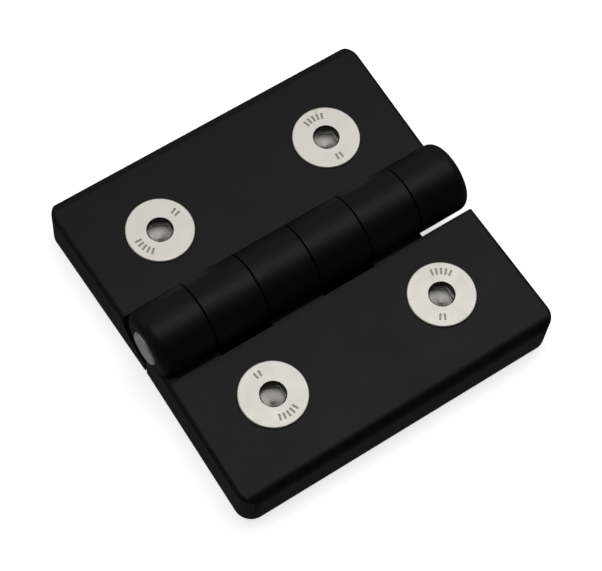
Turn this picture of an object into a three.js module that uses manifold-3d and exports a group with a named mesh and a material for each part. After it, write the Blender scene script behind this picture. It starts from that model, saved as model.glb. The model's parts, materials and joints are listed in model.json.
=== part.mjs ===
// Surface-mounted door hinge: two moulded leaves, a steel pin and four countersunk screws.
// Millimetres, +Z up. X runs along the pin, the front leaf lies toward -Y and the rear leaf toward +Y.
// The origin is below the pin axis, at mid length, in the plane that the leaves are fastened against.
import * as THREE from "three";
import { mergeVertices } from "three/addons/utils/BufferGeometryUtils.js";
import Module from "manifold-3d";

const wasm = await Module();
wasm.setup();

// Leaf
const leafLength = 60;
const leafReach = 30.6;
const leafThickness = 8.5;
const waistInset = 0.5;
const leafCornerRadius = 3;
const leafEndRound = 0.8;
const leafEdgeRound = 2;
const leafMeetGap = 0.6;

// Barrel
const axisAboveLeaf = 1.5;
const knuckleRadius = 6.1;
const knuckleCount = 6;
const barrelInset = 0.5;
const barrelEndRound = 1.7;
const knuckleGap = 0.3;
const pocketClearance = 1;
const notchClearance = 0.5;

// Pin
const pinDiameter = 6;
const pinStandOut = 0.4;
const pinChamfer = 0.5;
const pinClearance = 0.3;

// Screws
const screwSpacingAlong = 32.5;
const screwReach = 16.9;
const screwDiameter = 6;
const screwTipInset = 0.9;
const screwHeadDiameter = 11.4;
const screwHeadRim = 0.5;
const screwHeadStandOut = 0.4;
const screwTipChamfer = 0.9;
const socketAcrossFlats = 4;
const socketDepth = 2.5;
const screwClearance = 0.3;

// Facets
const barrelSegments = 72;
const screwSegments = 48;
const roundSteps = 5;

// Worked-out sizes
const axisHeight = leafThickness + axisAboveLeaf;
const barrelEnd = leafLength / 2 - barrelInset;
const knucklePitch = 2 * barrelEnd / knuckleCount;
const boreRadius = pinDiameter / 2 + pinClearance;
const pocketRadius = knuckleRadius + pocketClearance;
const notchReach = knuckleRadius + notchClearance;
const screwLength = leafThickness + screwHeadStandOut - screwTipInset;
const overrun = 5;

const leafMaterial = new THREE.MeshStandardMaterial({ color: 0x1b1b1c, roughness: 0.55, metalness: 0 });
const pinMaterial = new THREE.MeshStandardMaterial({ color: 0xb9bab8, roughness: 0.35, metalness: 1 });
const screwMaterial = new THREE.MeshStandardMaterial({ color: 0xd2d1c8, roughness: 0.4, metalness: 1 });

// A closed three.js geometry as a manifold solid, and back again.
function solid(geometry) {
  const bare = geometry.clone();
  bare.deleteAttribute("normal");
  bare.deleteAttribute("uv");
  const merged = mergeVertices(bare, 1e-5);
  return new wasm.Manifold(new wasm.Mesh({
    numProp: 3,
    vertProperties: new Float32Array(merged.attributes.position.array),
    triVerts: new Uint32Array(merged.index.array),
  }));
}

function geometryOf(shape) {
  const mesh = shape.getMesh();
  const geometry = new THREE.BufferGeometry();
  geometry.setAttribute("position", new THREE.BufferAttribute(new Float32Array(mesh.vertProperties), 3));
  geometry.setIndex(new THREE.BufferAttribute(new Uint32Array(mesh.triVerts), 1));
  geometry.computeVertexNormals();
  return geometry;
}

// A box given by its two ends on each axis.
function boxBetween(x0, x1, y0, y1, z0, z1) {
  const box = new THREE.BoxGeometry(x1 - x0, y1 - y0, z1 - z0);
  box.translate((x0 + x1) / 2, (y0 + y1) / 2, (z0 + z1) / 2);
  return solid(box);
}

// A round bar on the pin axis, turned from its half section of [x, radius] points.
function turnedOnAxis(section) {
  const points = section.map(([x, radius]) => new THREE.Vector2(radius, x));
  const bar = new THREE.LatheGeometry(points, barrelSegments);
  bar.rotateZ(-Math.PI / 2);
  bar.translate(0, 0, axisHeight);
  return solid(bar);
}

function barOnAxis(radius, x0, x1) {
  return turnedOnAxis([[x0, 0], [x0, radius], [x1, radius], [x1, 0]]);
}

// The leaf's plan, narrowest at the barrel, with round outer corners. It runs on past the axis.
function leafPlan() {
  const outer = leafLength / 2 - leafEndRound;
  const inner = outer - waistInset;
  const far = -leafReach + leafEndRound;
  const corner = leafCornerRadius - leafEndRound;
  const plan = new THREE.Shape();
  plan.moveTo(inner, overrun);
  plan.lineTo(-inner, overrun);
  plan.lineTo(-inner, 0);
  plan.lineTo(-outer, far + corner);
  plan.absarc(-outer + corner, far + corner, corner, Math.PI, 1.5 * Math.PI, false);
  plan.absarc(outer - corner, far + corner, corner, 1.5 * Math.PI, 2 * Math.PI, false);
  plan.lineTo(inner, 0);
  plan.closePath();
  return plan;
}

// The plate: the plan extruded with its top edges rounded, then the long outer edge rounded further.
function leafPlate() {
  const plate = new THREE.ExtrudeGeometry(leafPlan(), {
    depth: leafThickness - leafEndRound + overrun,
    bevelThickness: leafEndRound,
    bevelSize: leafEndRound,
    bevelSegments: roundSteps,
    curveSegments: roundSteps,
  });
  plate.translate(0, 0, -overrun);

  const profile = new THREE.Shape();
  profile.moveTo(0, 0);
  profile.lineTo(0, leafThickness);
  profile.lineTo(-leafReach + leafEdgeRound, leafThickness);
  profile.absarc(-leafReach + leafEdgeRound, leafThickness - leafEdgeRound, leafEdgeRound,
    Math.PI / 2, Math.PI, false);
  profile.lineTo(-leafReach, 0);
  profile.closePath();
  const along = new THREE.ExtrudeGeometry(profile, {
    depth: leafLength + 2 * overrun,
    bevelEnabled: false,
    curveSegments: 2 * roundSteps,
  });
  // The profile's first axis becomes Y, its second Z, and the extrusion runs along X.
  along.applyMatrix4(new THREE.Matrix4().makeBasis(
    new THREE.Vector3(0, 1, 0), new THREE.Vector3(0, 0, 1), new THREE.Vector3(1, 0, 0)));
  along.translate(-leafLength / 2 - overrun, 0, 0);
  return solid(plate).intersect(solid(along));
}

// Where knuckle number i lies along X, counted from the -X end.
function knuckleSpan(i) {
  const start = -barrelEnd + i * knucklePitch;
  return [
    start + (i === 0 ? 0 : knuckleGap / 2),
    start + knucklePitch - (i === knuckleCount - 1 ? 0 : knuckleGap / 2),
  ];
}

// A knuckle. The first one ends the barrel, so its outside edge is rounded.
function knuckle(i) {
  const [x0, x1] = knuckleSpan(i);
  const section = [[x0, 0]];
  const roundings = i === 0 ? roundSteps : 0;
  for (let step = 0; step <= roundings; step += 1) {
    const turn = roundings ? (step / roundings) * (Math.PI / 2) : Math.PI / 2;
    const inward = roundings ? barrelEndRound : 0;
    section.push([x0 + inward * (1 - Math.cos(turn)), knuckleRadius - inward * (1 - Math.sin(turn))]);
  }
  section.push([x1, knuckleRadius], [x1, 0]);
  return turnedOnAxis(section);
}

// What the countersunk hole takes out of a leaf: the screw's own shape and a clearance all round.
function screwHole(x, y) {
  const headRadius = screwHeadDiameter / 2 + screwClearance;
  const holeRadius = screwDiameter / 2 + screwClearance;
  const rimBottom = leafThickness + screwHeadStandOut - screwHeadRim - screwClearance;
  const coneBottom = rimBottom - (headRadius - holeRadius);
  const section = [
    [0, -overrun],
    [holeRadius, -overrun],
    [holeRadius, coneBottom],
    [headRadius, rimBottom],
    [headRadius, leafThickness + overrun],
    [0, leafThickness + overrun],
  ];
  const hole = new THREE.LatheGeometry(section.map(([r, z]) => new THREE.Vector2(r, z)), screwSegments);
  hole.rotateX(Math.PI / 2);
  hole.translate(x, y, 0);
  return solid(hole);
}

// A leaf toward -Y. It owns knuckles 0, 2 and 4, and makes room for the other leaf's 1, 3 and 5.
// The room for knuckle 5, at the leaf's end, is cut right through or is a hollow with a floor.
function leaf(endIsOpen) {
  let body = leafPlate();
  const back = -leafMeetGap / 2;
  body = body.subtract(boxBetween(-leafLength, leafLength, back, 2 * overrun, -overrun, 2 * leafThickness));
  for (let i = 0; i < knuckleCount; i += 2) {
    body = body.add(knuckle(i));
  }
  for (let i = 1; i < knuckleCount; i += 2) {
    const from = -barrelEnd + i * knucklePitch - knuckleGap / 2;
    const to = from + knucklePitch + knuckleGap;
    const isEnd = i === knuckleCount - 1;
    const room = isEnd && endIsOpen
      ? boxBetween(from, leafLength, -notchReach, overrun, -overrun, 2 * leafThickness)
      : barOnAxis(pocketRadius, from, isEnd ? leafLength : to);
    body = body.subtract(room);
  }
  body = body.subtract(barOnAxis(boreRadius, -leafLength, leafLength));
  for (const side of [-1, 1]) {
    body = body.subtract(screwHole(side * screwSpacingAlong / 2, -screwReach));
  }
  return geometryOf(body);
}

function pin() {
  const end = barrelEnd + pinStandOut;
  const radius = pinDiameter / 2;
  return geometryOf(turnedOnAxis([
    [-end, 0],
    [-end, radius - pinChamfer],
    [-end + pinChamfer, radius],
    [end - pinChamfer, radius],
    [end, radius - pinChamfer],
    [end, 0],
  ]));
}

// A countersunk screw with a hexagon socket, its head's top face at z = 0 and its shank below.
function screw() {
  const headRadius = screwHeadDiameter / 2;
  const shankRadius = screwDiameter / 2;
  const section = [
    [0, -screwLength],
    [shankRadius - screwTipChamfer, -screwLength],
    [shankRadius, -screwLength + screwTipChamfer],
    [shankRadius, -screwHeadRim - (headRadius - shankRadius)],
    [headRadius, -screwHeadRim],
    [headRadius, 0],
    [0, 0],
  ];
  const turned = new THREE.LatheGeometry(section.map(([r, z]) => new THREE.Vector2(r, z)), screwSegments);
  turned.rotateX(Math.PI / 2);
  const socketRadius = socketAcrossFlats / 2 / Math.cos(Math.PI / 6);
  const socket = new THREE.CylinderGeometry(socketRadius, socketRadius, 2 * socketDepth, 6);
  socket.rotateX(Math.PI / 2);
  return geometryOf(solid(turned).subtract(solid(socket)));
}

const hinge = new THREE.Group();
const halfTurn = Math.PI;

const screwGeometry = screw();
for (const [side, turn, endIsOpen] of [["front", 0, true], ["rear", halfTurn, false]]) {
  const half = new THREE.Group();
  half.rotation.z = turn;
  const plate = new THREE.Mesh(leaf(endIsOpen), leafMaterial);
  plate.name = `${side}_leaf`;
  half.add(plate);
  for (const [end, direction] of [["left", -1], ["right", 1]]) {
    const fastener = new THREE.Mesh(screwGeometry, screwMaterial);
    const along = turn === 0 ? direction : -direction;
    fastener.name = `screw_${side}_${end}`;
    fastener.position.set(along * screwSpacingAlong / 2, -screwReach, leafThickness + screwHeadStandOut);
    half.add(fastener);
  }
  hinge.add(half);
}

const hingePin = new THREE.Mesh(pin(), pinMaterial);
hingePin.name = "hinge_pin";
hinge.add(hingePin);

export default hinge;
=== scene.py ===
import json
import math
import bpy
from mathutils import Matrix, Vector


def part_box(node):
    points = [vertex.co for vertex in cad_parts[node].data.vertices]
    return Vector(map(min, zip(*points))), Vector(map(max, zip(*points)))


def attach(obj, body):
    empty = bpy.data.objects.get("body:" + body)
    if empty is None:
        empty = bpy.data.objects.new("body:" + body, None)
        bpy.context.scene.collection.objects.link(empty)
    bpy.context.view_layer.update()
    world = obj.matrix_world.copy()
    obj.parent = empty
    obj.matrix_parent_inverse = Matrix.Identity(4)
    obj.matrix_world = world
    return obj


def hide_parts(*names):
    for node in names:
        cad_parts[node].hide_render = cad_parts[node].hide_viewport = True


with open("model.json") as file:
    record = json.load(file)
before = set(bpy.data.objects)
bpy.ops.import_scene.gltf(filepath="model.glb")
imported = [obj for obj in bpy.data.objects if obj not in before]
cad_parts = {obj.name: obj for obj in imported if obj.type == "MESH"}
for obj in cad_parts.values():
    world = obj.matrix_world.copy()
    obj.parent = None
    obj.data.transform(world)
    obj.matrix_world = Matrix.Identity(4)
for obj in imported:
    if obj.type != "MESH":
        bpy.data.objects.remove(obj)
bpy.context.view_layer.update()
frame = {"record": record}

mm = 0.001
near = 0.01 * mm  # a point this close to a plane counts as on it
square = 0.999  # a face whose normal has this much of an axis counts as square to it

# Modelling helpers


def deselectAll():
    bpy.ops.object.select_all(action="DESELECT")


def pick(piece):
    deselectAll()
    piece.select_set(True)
    bpy.context.view_layer.objects.active = piece


def settle(piece, name):
    # moves the place of a new primitive into its mesh, so its object sits at the origin
    pick(piece)
    bpy.ops.object.transform_apply(location=True, rotation=True, scale=True)
    piece.name = name
    piece.data.name = name
    return piece


def addBlock(name, low, high):
    deselectAll()
    centre = [(a + b) / 2 for a, b in zip(low, high)]
    sides = [b - a for a, b in zip(low, high)]
    bpy.ops.mesh.primitive_cube_add(size=1, location=centre, scale=sides)
    return settle(bpy.context.object, name)


def addRod(name, radius, start, end, axis, centre, sides):
    # a round bar along X or Z: centre gives its place on the two other axes
    deselectAll()
    middle = (start + end) / 2
    if axis == "X":
        place, turn = (middle, centre[0], centre[1]), (0, math.pi / 2, 0)
    else:
        place, turn = (centre[0], centre[1], middle), (0, 0, 0)
    bpy.ops.mesh.primitive_cylinder_add(vertices=sides, radius=radius, depth=end - start,
                                        location=place, rotation=turn)
    return settle(bpy.context.object, name)


def selectEdges(piece, wanted):
    # wanted takes the two ends of an edge and says whether it is selected
    pick(piece)
    bpy.ops.object.mode_set(mode="EDIT")
    bpy.ops.mesh.select_mode(type="EDGE")
    bpy.ops.mesh.select_all(action="DESELECT")
    bpy.ops.object.mode_set(mode="OBJECT")
    points = piece.data.vertices
    for edge in piece.data.edges:
        a, b = (points[i].co for i in edge.vertices)
        edge.select = bool(wanted(a, b))
    bpy.ops.object.mode_set(mode="EDIT")


def selectFaces(piece, wanted):
    # wanted takes a face's middle and normal
    pick(piece)
    bpy.ops.object.mode_set(mode="EDIT")
    bpy.ops.mesh.select_mode(type="FACE")
    bpy.ops.mesh.select_all(action="DESELECT")
    bpy.ops.object.mode_set(mode="OBJECT")
    for face in piece.data.polygons:
        face.select = bool(wanted(face.center, face.normal))
    bpy.ops.object.mode_set(mode="EDIT")


def facesDown(centre, normal):
    return normal.z < -square


def leaveEdit():
    bpy.ops.object.mode_set(mode="OBJECT")


def bevelEdges(piece, wanted, width, segments):
    selectEdges(piece, wanted)
    bpy.ops.mesh.bevel(offset=width, segments=segments, profile=0.5, affect="EDGES")
    leaveEdit()


def applyModifier(piece, kind, **settings):
    pick(piece)
    modifier = piece.modifiers.new(kind.title(), kind)
    for key, value in settings.items():
        setattr(modifier, key, value)
    bpy.ops.object.modifier_apply(modifier=modifier.name)


def combine(piece, tool, how):
    applyModifier(piece, "BOOLEAN", object=tool, operation=how, solver="EXACT")
    bpy.data.objects.remove(tool, do_unlink=True)
    return piece


surfaceFinish = {"sharpDegrees": 35, "areaWeight": 50}


def finishSurface(piece):
    # smooth shading, with edges sharper than the angle kept crisp
    s = surfaceFinish
    pick(piece)
    bpy.ops.object.shade_smooth_by_angle(angle=math.radians(s["sharpDegrees"]), keep_sharp_edges=True)
    applyModifier(piece, "WEIGHTED_NORMAL", mode="FACE_AREA", weight=s["areaWeight"], keep_sharp=True)


# Shader helpers


def grey(level):
    return (level, level, level, 1)


def blend(first, second, share):
    return first * (1 - share) + second * share


class Wire:
    # an output socket that can be used in sums
    def __init__(self, graph, socket):
        self.graph = graph
        self.socket = socket

    def sum(self, operation, *others):
        inputs = dict(enumerate((self,) + others))
        return self.graph.node("ShaderNodeMath", {"operation": operation}, inputs)

    def __add__(self, other):
        return self.sum("ADD", other)

    __radd__ = __add__

    def __mul__(self, other):
        return self.sum("MULTIPLY", other)

    __rmul__ = __mul__

    def __sub__(self, other):
        return self.sum("SUBTRACT", other)

    def __rsub__(self, other):
        return self.graph.node("ShaderNodeMath", {"operation": "SUBTRACT"}, {0: other, 1: self})


class Graph:
    def __init__(self, name, constants):
        self.material = bpy.data.materials.new(name)
        self.material.use_nodes = True
        self.tree = self.material.node_tree
        self.shader = self.tree.nodes["Principled BSDF"]
        for key, value in constants.items():
            self.shader.inputs[key].default_value = value

    @classmethod
    def over(cls, tree, shaderName):
        # for a node tree that isn't a material's, such as the world's
        graph = cls.__new__(cls)
        graph.tree = tree
        graph.shader = tree.nodes[shaderName]
        return graph

    def node(self, kind, settings=None, inputs=None, output=0):
        # stops are the places and grey levels of a colour ramp
        made = self.tree.nodes.new(kind)
        for key, value in (settings or {}).items():
            if key == "stops":
                for i, (place, level) in enumerate(value):
                    stop = made.color_ramp.elements[i] if i < 2 else made.color_ramp.elements.new(place)
                    stop.position = place
                    stop.color = grey(level)
            else:
                setattr(made, key, value)
        for key, value in (inputs or {}).items():
            self.feed(made.inputs[key], value)
        return Wire(self, made.outputs[output])

    def feed(self, socket, value):
        if isinstance(value, Wire):
            self.tree.links.new(value.socket, socket)
        else:
            socket.default_value = value

    def place(self):
        return self.node("ShaderNodeTexCoord", output="Object")

    def noise(self, where, perMetre, detail, roughness):
        inputs = {"Vector": where, "Scale": perMetre, "Detail": detail, "Roughness": roughness}
        return self.node("ShaderNodeTexNoise", {}, inputs, output="Fac")

    def ramp(self, value, stops):
        return self.node("ShaderNodeValToRGB", {"stops": stops}, {"Fac": value})

    def mix(self, mask, first, second):
        # sockets 6 and 7 are the node's two colours and output 2 its colour result
        inputs = {"Factor": mask, 6: first, 7: second}
        return self.node("ShaderNodeMix", {"data_type": "RGBA"}, inputs, output=2)

    def bump(self, height, distance, strength, under=None):
        inputs = {"Height": height, "Distance": distance, "Strength": strength}
        if under is not None:
            inputs["Normal"] = under
        return self.node("ShaderNodeBump", {}, inputs)

    def drive(self, **wires):
        for key, wire in wires.items():
            self.feed(self.shader.inputs[key.replace("_", " ")], wire)
        return self.material


# In the looks below a noise is its scale per metre, detail and roughness, a bump is its height and strength,
# and a gloss is how much a noise varies the roughness.

plasticLook = {
    "deep": (0.002, 0.002, 0.0021, 1),
    "light": (0.006, 0.006, 0.0063, 1),
    "dust": (0.05, 0.05, 0.047, 1),
    "flowNoise": (130, 3.0, 0.55),
    "flowBump": (0.09 * mm, 0.35),
    "flowGloss": 0.12,
    "grainNoise": (4200, 3.0, 0.6),
    "grainBump": (0.012 * mm, 0.9),
    "grainGloss": 0.14,
    "grainShare": 0.4,
    "pitNoise": (1890, 1.0, 0.5),
    "pitShare": 0.4,
    "dustNoise": (1500, 4.0, 0.7),
    "dustStops": [(0.64, 0.0), (0.8, 1.0)],
    "dustAmount": 0.12,
    "roughness": 0.45,
    "metal": 0.0,
    "specular": 0.16,
    "ior": 1.5,
}


def makePlastic():
    look = plasticLook
    g = Graph("blackMouldedPlastic", {"Metallic": look["metal"], "Specular IOR Level": look["specular"],
                                      "IOR": look["ior"]})
    where = g.place()
    flow = g.noise(where, *look["flowNoise"])
    grain = g.noise(where, *look["grainNoise"])
    pits = g.noise(where, *look["pitNoise"])
    dust = g.ramp(g.noise(where, *look["dustNoise"]), look["dustStops"])
    colour = g.mix(blend(flow, grain, look["grainShare"]), look["deep"], look["light"])
    colour = g.mix(dust * look["dustAmount"], colour, look["dust"])
    rough = look["roughness"] + (flow - 0.5) * look["flowGloss"] + (grain - 0.5) * look["grainGloss"]
    waves = g.bump(flow, *look["flowBump"])
    fine = g.bump(blend(grain, pits, look["pitShare"]), *look["grainBump"], waves)
    return g.drive(Base_Color=colour, Roughness=rough, Normal=fine)


screwLook = {
    "light": (0.86, 0.84, 0.765, 1),
    "dark": (0.72, 0.705, 0.64, 1),
    "blotchNoise": (420, 4.0, 0.6),
    "blotchGloss": 0.2,
    "fineNoise": (6500, 2.0, 0.6),
    "fineBump": (0.01 * mm, 0.6),
    "fineGloss": 0.1,
    "fineShare": 0.3,
    "roughness": 0.5,
    "metal": 0.55,
}


def makeStainless():
    look = screwLook
    g = Graph("satinStainless", {"Metallic": look["metal"]})
    where = g.place()
    blotch = g.noise(where, *look["blotchNoise"])
    fine = g.noise(where, *look["fineNoise"])
    colour = g.mix(blend(blotch, fine, look["fineShare"]), look["dark"], look["light"])
    rough = look["roughness"] + (blotch - 0.5) * look["blotchGloss"] + (fine - 0.5) * look["fineGloss"]
    return g.drive(Base_Color=colour, Roughness=rough, Normal=g.bump(fine, *look["fineBump"]))


# a noise that mottles the painted shade in the recesses and varies its roughness
recessMottleLook = {
    "grimeNoise": (900, 4.0, 0.6),
    "grimeGloss": 0.25,
    "fineNoise": (5200, 2.0, 0.6),
    "fineBump": (0.02 * mm, 0.7),
    "fineShare": 0.2,
}
recessLook = {
    # painted shade: the socket's walls are coloured darkest and its floor a little lighter, both far darker
    # than the head, to stand for the shade inside the socket
    "socketWall": {
        "dark": (0.035, 0.035, 0.028, 1),
        "light": (0.12, 0.12, 0.1, 1),
        "roughness": 0.4,
        "metal": 1.0,
    },
    "socketFloor": {
        "dark": (0.18, 0.18, 0.16, 1),
        "light": (0.42, 0.41, 0.37, 1),
        "roughness": 0.35,
        "metal": 0.6,
    },
    # painted shade: the floors of the stamped strokes are coloured darker than the head to stand for the
    # shade in the grooves
    "strokeFloor": {
        "dark": (0.2, 0.2, 0.18, 1),
        "light": (0.42, 0.42, 0.38, 1),
        "roughness": 0.5,
        "metal": 0.6,
    },
}


def makeRecess(name):
    # broached and stamped places, coloured darker than the head as painted shade in these recesses, with a
    # noise mottling it
    look = recessLook[name] | recessMottleLook
    g = Graph(name, {"Metallic": look["metal"]})
    where = g.place()
    mottle = g.noise(where, *look["grimeNoise"])
    fine = g.noise(where, *look["fineNoise"])
    colour = g.mix(blend(mottle, fine, look["fineShare"]), look["dark"], look["light"])
    rough = look["roughness"] + (mottle - 0.5) * look["grimeGloss"]
    return g.drive(Base_Color=colour, Roughness=rough, Normal=g.bump(fine, *look["fineBump"]))


pinLook = {
    "steel": (0.5, 0.5, 0.49, 1),
    "shade": (0.34, 0.34, 0.335, 1),
    "stretch": (12, 1, 1),  # rings round the pin
    "lineNoise": (900, 4.0, 0.65),
    "lineBump": (0.01 * mm, 0.7),
    "lineGloss": 0.18,
    "roughness": 0.3,
    "metal": 0.5,
}


def makeSteel():
    look = pinLook
    g = Graph("groundSteel", {"Metallic": look["metal"]})
    stretched = g.node("ShaderNodeMapping", {}, {"Vector": g.place(), "Scale": look["stretch"]})
    lines = g.noise(stretched, *look["lineNoise"])
    colour = g.mix(lines, look["shade"], look["steel"])
    rough = look["roughness"] + lines * look["lineGloss"]
    return g.drive(Base_Color=colour, Roughness=rough, Normal=g.bump(lines, *look["lineBump"]))


# Sizes that come from the frame

frontLow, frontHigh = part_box("front_leaf")
pinLow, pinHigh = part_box("hinge_pin")
screwLow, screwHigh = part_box("screw_front_right")
axisHeight = frame["record"]["behaviour"]["joints"][0]["pos_m"][2]
leafHalf = frontHigh[0]
leafReach = -frontLow[1]
knuckleRadius = frontHigh[2] - axisHeight
pinRadius = (pinHigh[2] - pinLow[2]) / 2
pinHalf = pinHigh[0]
pinStandOut = 0.4 * mm
barrelEnd = pinHalf - pinStandOut
barrelAxis = (0, axisHeight)  # its place in Y and Z
headRadius = (screwHigh[0] - screwLow[0]) / 2
headTop = screwHigh[2]
screwTip = screwLow[2]
screwAlong = (screwHigh[0] + screwLow[0]) / 2
screwAcross = -(screwHigh[1] + screwLow[1]) / 2
past = 5 * mm  # how far a cutting tool runs beyond what it cuts

# Leaf

leafSizes = {
    "thickness": 8.5 * mm,
    "waist": 0.5 * mm,
    "cornerRound": 3 * mm,
    "cornerSteps": 14,
    "topRound": 0.8 * mm,
    "topSteps": 6,
    "edgeRound": 2 * mm,
    "edgeSteps": 14,
    "footRound": 0.25 * mm,
    "footSteps": 3,
    "meetGap": 0.3 * mm,
    "knuckles": 6,
    "barrelSides": 144,
    "endRound": 1.7 * mm,
    "endSteps": 10,
    "seamGap": 0.16 * mm,
    "seamRound": 0.12 * mm,
    "seamSteps": 3,
    "seamStep": 0.02 * mm,  # keeps a knuckle's end out of the plane of the next pocket's wall
    "pocketRadius": 7.1 * mm,
    "notchReach": 6.6 * mm,
    "joinRound": 1.0 * mm,
    "joinSides": 64,
    "joinInset": 0.18 * mm,
    "joinSink": 0.02 * mm,
    "holeClearance": 0.12 * mm,
    "holeSides": 96,
    "shankHole": 3.3 * mm,
    "headSeat": 0.4 * mm,
    "boreClearance": 0.06 * mm,
    "boreSides": 96,
}


def makePlate():
    s = leafSizes
    top = s["thickness"]
    plate = addBlock("plate", (-leafHalf, -leafReach, 0), (leafHalf, -s["meetGap"], top))
    # the waist: the inner side is a little shorter than the outer
    selectEdges(plate, lambda a, b: a.y > -past and b.y > -past)
    narrow = (leafHalf - s["waist"]) / leafHalf
    bpy.ops.transform.resize(value=(narrow, 1, 1), center_override=(0, 0, 0))
    leaveEdit()
    bevelEdges(plate, lambda a, b: abs(a.z - b.z) > top / 2 and a.y < -past,
               s["cornerRound"], s["cornerSteps"])

    def outline(a, b, z):
        # all edges at height z apart from the one along the barrel
        return abs(a.z - z) < near and abs(b.z - z) < near and min(a.y, b.y) < -past

    bevelEdges(plate, lambda a, b: outline(a, b, top), s["topRound"], s["topSteps"])
    bevelEdges(plate, lambda a, b: outline(a, b, 0), s["footRound"], s["footSteps"])
    # the long outer edge is rounded further, by a wider block that has only that rounding
    cover = addBlock("cover", (-2 * leafHalf, -leafReach, -past), (2 * leafHalf, past, top))
    bevelEdges(cover, lambda a, b: min(a.z, b.z) > top - near and max(a.y, b.y) < -past,
               s["edgeRound"], s["edgeSteps"])
    return combine(plate, cover, "INTERSECT")


def knuckleEnds(i):
    # where knuckle i starts and stops along X, counted from the -X end
    s = leafSizes
    pitch = 2 * barrelEnd / s["knuckles"]
    start = -barrelEnd + i * pitch
    low = start + (s["seamGap"] / 2 + s["seamStep"] if i > 0 else 0)
    high = start + pitch - (s["seamGap"] / 2 + s["seamStep"])
    return low, high


def makeKnuckle(i):
    s = leafSizes
    low, high = knuckleEnds(i)
    rod = addRod("knuckle", knuckleRadius, low, high, "X", barrelAxis, s["barrelSides"])
    lowRound, lowSteps = (s["endRound"], s["endSteps"]) if i == 0 else (s["seamRound"], s["seamSteps"])
    bevelEdges(rod, lambda a, b: max(a.x, b.x) < low + near, lowRound, lowSteps)
    bevelEdges(rod, lambda a, b: min(a.x, b.x) > high - near, s["seamRound"], s["seamSteps"])
    return rod


def makeJoin(i):
    # the hollow rounding where a knuckle meets the top of its leaf, sunk a little into both
    s = leafSizes
    low, high = knuckleEnds(i)
    r = s["joinRound"]
    rise = s["thickness"] + r - axisHeight
    across = math.sqrt((knuckleRadius + r) ** 2 - rise ** 2)
    share = knuckleRadius / (knuckleRadius + r)
    left = low + s["joinInset"] + (s["endRound"] if i == 0 else 0)
    block = addBlock("join", (left, -across, s["thickness"] - r),
                     (high - s["joinInset"], r - across * share, axisHeight + rise * share))
    hollow = addRod("hollow", r + s["joinSink"], low - r, high + r, "X", (-across, s["thickness"] + r),
                    s["joinSides"])
    return combine(block, hollow, "DIFFERENCE")


def cutHole(leaf, x, y):
    # the countersunk hole, cut by one stepped tool
    s = leafSizes
    wide = headRadius + s["holeClearance"]
    narrow = s["shankHole"]
    rim = s["thickness"] - s["headSeat"]
    hole = addRod("hole", wide, rim, rim + 2 * past, "Z", (x, y), s["holeSides"])
    selectFaces(hole, facesDown)
    bpy.ops.mesh.extrude_region_move(TRANSFORM_OT_translate={"value": (0, 0, narrow - wide)})
    bpy.ops.transform.resize(value=(narrow / wide, narrow / wide, 1), center_override=(x, y, 0))
    bpy.ops.mesh.extrude_region_move(TRANSFORM_OT_translate={"value": (0, 0, -3 * past)})
    leaveEdit()
    return combine(leaf, hole, "DIFFERENCE")


def makeLeaf(name, endIsOpen):
    # a leaf toward -Y, with knuckles 0, 2 and 4; the room for 5 is cut through or has a floor
    s = leafSizes
    leaf = makePlate()
    pitch = 2 * barrelEnd / s["knuckles"]
    for i in range(1, s["knuckles"], 2):
        start = -barrelEnd + i * pitch - s["seamGap"] / 2
        isEnd = i == s["knuckles"] - 1
        if isEnd and endIsOpen:
            room = addBlock("notch", (start, -s["notchReach"], -past),
                            (leafHalf + past, past, axisHeight + past))
        else:
            stop = leafHalf + past if isEnd else start + pitch + s["seamGap"]
            room = addRod("pocket", s["pocketRadius"], start, stop, "X", barrelAxis, s["barrelSides"])
        leaf = combine(leaf, room, "DIFFERENCE")
    for i in range(0, s["knuckles"], 2):
        leaf = combine(leaf, makeKnuckle(i), "UNION")
        leaf = combine(leaf, makeJoin(i), "UNION")
    bore = addRod("bore", pinRadius + s["boreClearance"], -leafHalf - past, leafHalf + past, "X",
                  barrelAxis, s["boreSides"])
    leaf = combine(leaf, bore, "DIFFERENCE")
    for x in (-screwAlong, screwAlong):
        leaf = cutHole(leaf, x, -screwAcross)
    leaf.name = name
    leaf.data.name = name
    return leaf


frontLeaf = makeLeaf("frontLeafMoulding", True)
rearLeaf = makeLeaf("rearLeafMoulding", False)
rearLeaf.rotation_euler = (0, 0, math.pi)  # half a turn, so that it lies toward +Y
settle(rearLeaf, "rearLeafMoulding")
for leaf in (frontLeaf, rearLeaf):
    finishSurface(leaf)
print("leaves made", len(frontLeaf.data.polygons), len(rearLeaf.data.polygons))

# Pin

pinSizes = {
    "sides": 96,
    "chamfer": 0.5 * mm,
    "chamferSteps": 4,
    "rimWidth": 0.9 * mm,
    "faceDepth": 0.07 * mm,
}


def makePin():
    # each end is chamfered and has a shallow turned hollow inside its rim
    s = pinSizes
    pin = addRod("hingePinTurned", pinRadius, -pinHalf, pinHalf, "X", barrelAxis, s["sides"])
    for side in (-1, 1):
        bevelEdges(pin, lambda a, b: min(a.x * side, b.x * side) > pinHalf - near,
                   s["chamfer"], s["chamferSteps"])
        selectFaces(pin, lambda centre, normal: normal.x * side > square)
        bpy.ops.mesh.inset(thickness=s["rimWidth"])
        bpy.ops.mesh.inset(thickness=s["faceDepth"])
        bpy.ops.transform.translate(value=(-side * s["faceDepth"], 0, 0))
        leaveEdit()
    return pin


pin = makePin()
finishSurface(pin)
print("pin made")

# Screws

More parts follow.
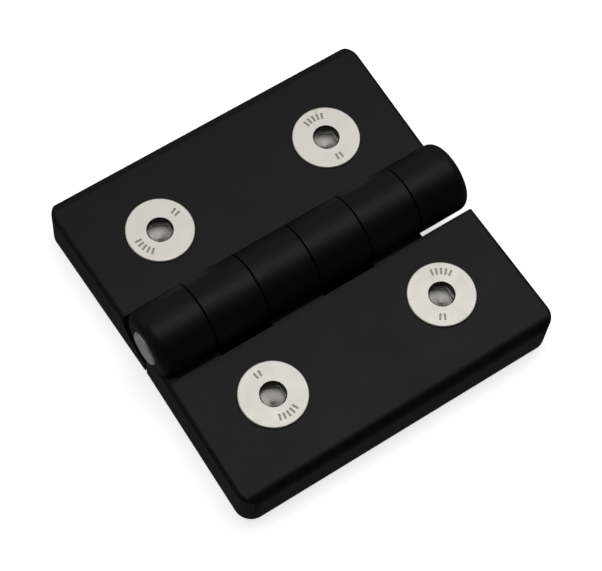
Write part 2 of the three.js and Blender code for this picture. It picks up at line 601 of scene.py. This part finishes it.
screwSizes = {
    "sides": 128,
    "shank": 3 * mm,
    "rim": 0.5 * mm,
    "rimRound": 0.18 * mm,
    "rimSteps": 3,
    "pitch": 1 * mm,
    "crestWidth": 0.12 * mm,
    "threadDepth": 0.45 * mm,
    "tipShare": 0.78,
    "socketFlats": 4 * mm,
    "socketDepth": 2.5 * mm,
    "socketCorner": 0.12 * mm,
    "socketCornerSteps": 2,
    "socketDrill": 1.9 * mm,
    "socketPoint": 0.95 * mm,
    "drillTip": 0.05 * mm,
    "drillSides": 64,
    "socketMouth": 0.24 * mm,
    "socketReach": 2.4 * mm,
    "strokeLength": 1.15 * mm,
    "strokeWidth": 0.36 * mm,
    "strokeDepth": 0.12 * mm,
    "strokeRing": 4.05 * mm,
    "strokeStep": 0.19,
    "shortTally": 2,
    "longTally": 5,
}
# where each screw's short tally stands, in degrees round its head; the long one is opposite
tallyTurns = {
    "screw_rear_left": 20,
    "screw_rear_right": -91,
    "screw_front_right": -123,
    "screw_front_left": 94,
}


def makeScrew():
    # made on the upright axis with its head's top at height 0
    s = screwSizes
    screw = addRod("screw", headRadius, -s["rim"], 0, "Z", (0, 0), s["sides"])
    bevelEdges(screw, lambda a, b: min(a.z, b.z) > -near, s["rimRound"], s["rimSteps"])
    selectFaces(screw, facesDown)

    def step(down, size):
        bpy.ops.mesh.extrude_region_move(TRANSFORM_OT_translate={"value": (0, 0, -down)})
        bpy.ops.transform.resize(value=(size, size, 1))

    cone = headRadius - s["shank"]
    step(cone, s["shank"] / headRadius)
    length = headTop - screwTip - s["rim"] - cone
    turns = int(length / s["pitch"])
    root = (s["shank"] - s["threadDepth"]) / s["shank"]
    crest = s["crestWidth"]
    flank = s["pitch"] / 2 - crest
    for turn in range(turns):
        for down, size in ((crest, 1), (flank, root), (crest, 1), (flank, 1 / root)):
            step(down, size)
    step(length - turns * s["pitch"], s["tipShare"])
    leaveEdit()
    return screw


def cutCone(screw, low, high, lowRadius, highRadius):
    deselectAll()
    bpy.ops.mesh.primitive_cone_add(vertices=screwSizes["drillSides"], radius1=lowRadius, radius2=highRadius,
                                    depth=high - low, location=(0, 0, (low + high) / 2))
    return combine(screw, settle(bpy.context.object, "cone"), "DIFFERENCE")


def cutSocket(screw):
    # a broached hexagon over a drilled point, with a turned mouth
    s = screwSizes
    corner = s["socketFlats"] / 2 / math.cos(math.pi / 6)
    socket = addRod("socket", corner, -s["socketDepth"], s["socketDepth"], "Z", (0, 0), 6)
    bevelEdges(socket, lambda a, b: abs(a.z - b.z) > s["socketDepth"],
               s["socketCorner"], s["socketCornerSteps"])
    screw = combine(screw, socket, "DIFFERENCE")
    drill = s["socketDrill"]
    slope = s["socketPoint"] / (drill - s["drillTip"])
    above = s["socketDepth"] / 2  # the cone runs on above the socket's floor at the same slope
    screw = cutCone(screw, -s["socketDepth"] - s["socketPoint"], above - s["socketDepth"],
                    s["drillTip"], drill + above / slope)
    mouth = s["socketMouth"]
    reach = s["socketFlats"] / 2 + mouth
    return cutCone(screw, -2 * mouth, 2 * mouth, reach - 2 * mouth, reach + 2 * mouth)


def cutTally(screw, count, side):
    # plain radial strokes side by side, as a stamped tally
    s = screwSizes
    strokes = []
    for k in range(count):
        angle = side + (k - (count - 1) / 2) * s["strokeStep"]
        deselectAll()
        bpy.ops.mesh.primitive_cube_add(
            size=1, rotation=(0, 0, angle),
            scale=(s["strokeLength"], s["strokeWidth"], 2 * s["strokeDepth"]),
            location=(s["strokeRing"] * math.cos(angle), s["strokeRing"] * math.sin(angle), 0))
        strokes.append(settle(bpy.context.object, "stroke"))
    for stroke in strokes:
        stroke.select_set(True)
    bpy.ops.object.join()
    return combine(screw, bpy.context.object, "DIFFERENCE")


screwMaster = cutSocket(makeScrew())
screws = {}
for node, turn in tallyTurns.items():
    low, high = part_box(node)
    pick(screwMaster)
    bpy.ops.object.duplicate(linked=False)
    screw = bpy.context.object
    cutTally(screw, screwSizes["shortTally"], math.radians(turn))
    cutTally(screw, screwSizes["longTally"], math.radians(turn + 180))
    screw.location = ((low[0] + high[0]) / 2, (low[1] + high[1]) / 2, high[2])
    kind, leafSide, end = node.split("_")
    screws[node] = settle(screw, kind + leafSide.title() + end.title())
    finishSurface(screw)
bpy.data.objects.remove(screwMaster, do_unlink=True)
print("screws made")

# Finishes and bodies

plastic = makePlastic()
stainless = makeStainless()
steel = makeSteel()
recesses = {name: makeRecess(name) for name in recessLook}


def dress(piece, material, body, node):
    piece.data.materials.clear()
    piece.data.materials.append(material)
    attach(piece, body)
    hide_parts(node)


recessSorting = {
    "wallTilt": 0.8,  # a face whose normal has less of Z than this is a wall
    "floorShare": 0.9,  # of the socket's depth, from where a level face is its floor
}


def shadeRecesses(screw, node):
    # faces sunk below the head's top, the socket's walls and floor, then the floors of the strokes, get the
    # darker materials of painted shade
    s = screwSizes
    low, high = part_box(node)
    x, y, top = (low[0] + high[0]) / 2, (low[1] + high[1]) / 2, high[2]
    slots = {}
    for name, material in recesses.items():
        slots[name] = len(screw.data.materials)
        screw.data.materials.append(material)
    floorFrom = s["socketDepth"] * recessSorting["floorShare"]
    deepest = s["socketDepth"] + s["socketPoint"]
    for face in screw.data.polygons:
        reach = math.hypot(face.center.x - x, face.center.y - y)
        sunk = top - face.center.z
        isWall = abs(face.normal.z) < recessSorting["wallTilt"]
        if reach < s["socketReach"]:
            if sunk < deepest and (isWall or sunk > floorFrom):
                # the socket's faces get painted shade, darkest on its walls
                face.material_index = slots["socketWall" if isWall else "socketFloor"]
        elif reach < headRadius - s["rim"] and abs(sunk - s["strokeDepth"]) < s["strokeDepth"] / 2:
            # the floors of the strokes get painted shade
            face.material_index = slots["strokeFloor"]


dress(frontLeaf, plastic, "front_half", "front_leaf")
dress(rearLeaf, plastic, "rear_half", "rear_leaf")
dress(pin, steel, "rear_half", "hinge_pin")
for node, screw in screws.items():
    dress(screw, stainless, "front_half" if "front" in node else "rear_half", node)
    shadeRecesses(screw, node)
print("finishes made")

# Floor, light and camera

floorLook = {
    "size": 6000 * mm,
    "glow": 0.7,
    "dim": 0.9,
    "pale": 0.92,
    "noise": (60, 3.0, 0.5),
    "roughness": 0.9,
    "specular": 0.1,
}


def makeFloor():
    look = floorLook
    deselectAll()
    bpy.ops.mesh.primitive_plane_add(size=look["size"], location=(0, 0, 0))
    floor = settle(bpy.context.object, "floor")
    g = Graph("paleFloor", {"Roughness": look["roughness"], "Specular IOR Level": look["specular"],
                            "Emission Color": grey(1), "Emission Strength": look["glow"]})
    paper = g.noise(g.place(), *look["noise"])
    floor.data.materials.append(g.drive(Base_Color=g.mix(paper, grey(look["dim"]), grey(look["pale"]))))
    floor.visible_glossy = False  # a studio sweep that doesn't show up in the gloss


lampSettings = {
    "place": (140 * mm, 60 * mm, 500 * mm),
    "sides": (500 * mm, 300 * mm),
    "power": 1.12,
}


def makeLamp():
    # an area lamp above, shining straight down
    bpy.ops.object.light_add(type="AREA", location=lampSettings["place"])
    lamp = bpy.context.object
    lamp.name = "softBox"
    lamp.data.shape = "RECTANGLE"
    lamp.data.size, lamp.data.size_y = lampSettings["sides"]
    lamp.data.energy = lampSettings["power"]


# front, rear and middle are a place across the sky, from -Y at 0 to +Y at 1, and its grey level
skyLook = {
    "front": (0.3, 0.0),
    "rear": (0.75, 0.42),
    "middle": (0.5, 0.14),
    "horizon": [(0.48, 0.0), (0.56, 1.0)],
    "below": 0.075,
    "seen": 0.95,
}


def makeSky():
    # dark toward -Y, grey toward +Y, and pale where the camera looks past the floor
    look = skyLook
    sky = bpy.data.worlds.new("studio")
    bpy.context.scene.world = sky
    sky.use_nodes = True
    g = Graph.over(sky.node_tree, "Background")
    across = g.node("ShaderNodeSeparateXYZ", {}, {0: g.node("ShaderNodeTexCoord", output="Generated")})
    depth = Wire(g, across.socket.node.outputs["Y"]) * 0.5 + 0.5
    height = Wire(g, across.socket.node.outputs["Z"]) * 0.5 + 0.5
    above = g.ramp(depth, [look["front"], look["rear"], look["middle"]])
    shade = g.mix(g.ramp(height, look["horizon"]), grey(look["below"]), above)
    straight = g.node("ShaderNodeLightPath", output="Is Camera Ray")
    g.feed(g.shader.inputs["Color"], g.mix(straight, shade, grey(look["seen"])))


cameraSizes = {
    "azimuth": -39.87,
    "elevation": 65.48,
    "roll": 7.2,
    "distance": 330.4 * mm,
    "aim": (-1.41 * mm, -2.57 * mm, 6 * mm),
    "lens": 121.4,
    "sensor": 36,
    "clipStart": 10 * mm,
}


def makeCamera():
    s = cameraSizes
    a = math.radians(s["azimuth"])
    e = math.radians(s["elevation"])
    back = (math.sin(a) * math.cos(e), -math.cos(a) * math.cos(e), math.sin(e))
    place = [t + b * s["distance"] for t, b in zip(s["aim"], back)]
    bpy.ops.object.camera_add(location=place, rotation=(math.pi / 2 - e, 0, a))
    camera = bpy.context.object
    camera.data.lens = s["lens"]
    camera.data.sensor_width = s["sensor"]
    camera.data.clip_start = s["clipStart"]
    spin = camera.rotation_euler.to_matrix() @ Matrix.Rotation(math.radians(s["roll"]), 3, "Z")
    camera.rotation_euler = spin.to_euler("XYZ")
    bpy.context.scene.camera = camera


bpy.context.scene.view_settings.view_transform = "Standard"
makeFloor()
makeLamp()
makeSky()
makeCamera()
print("stage made")
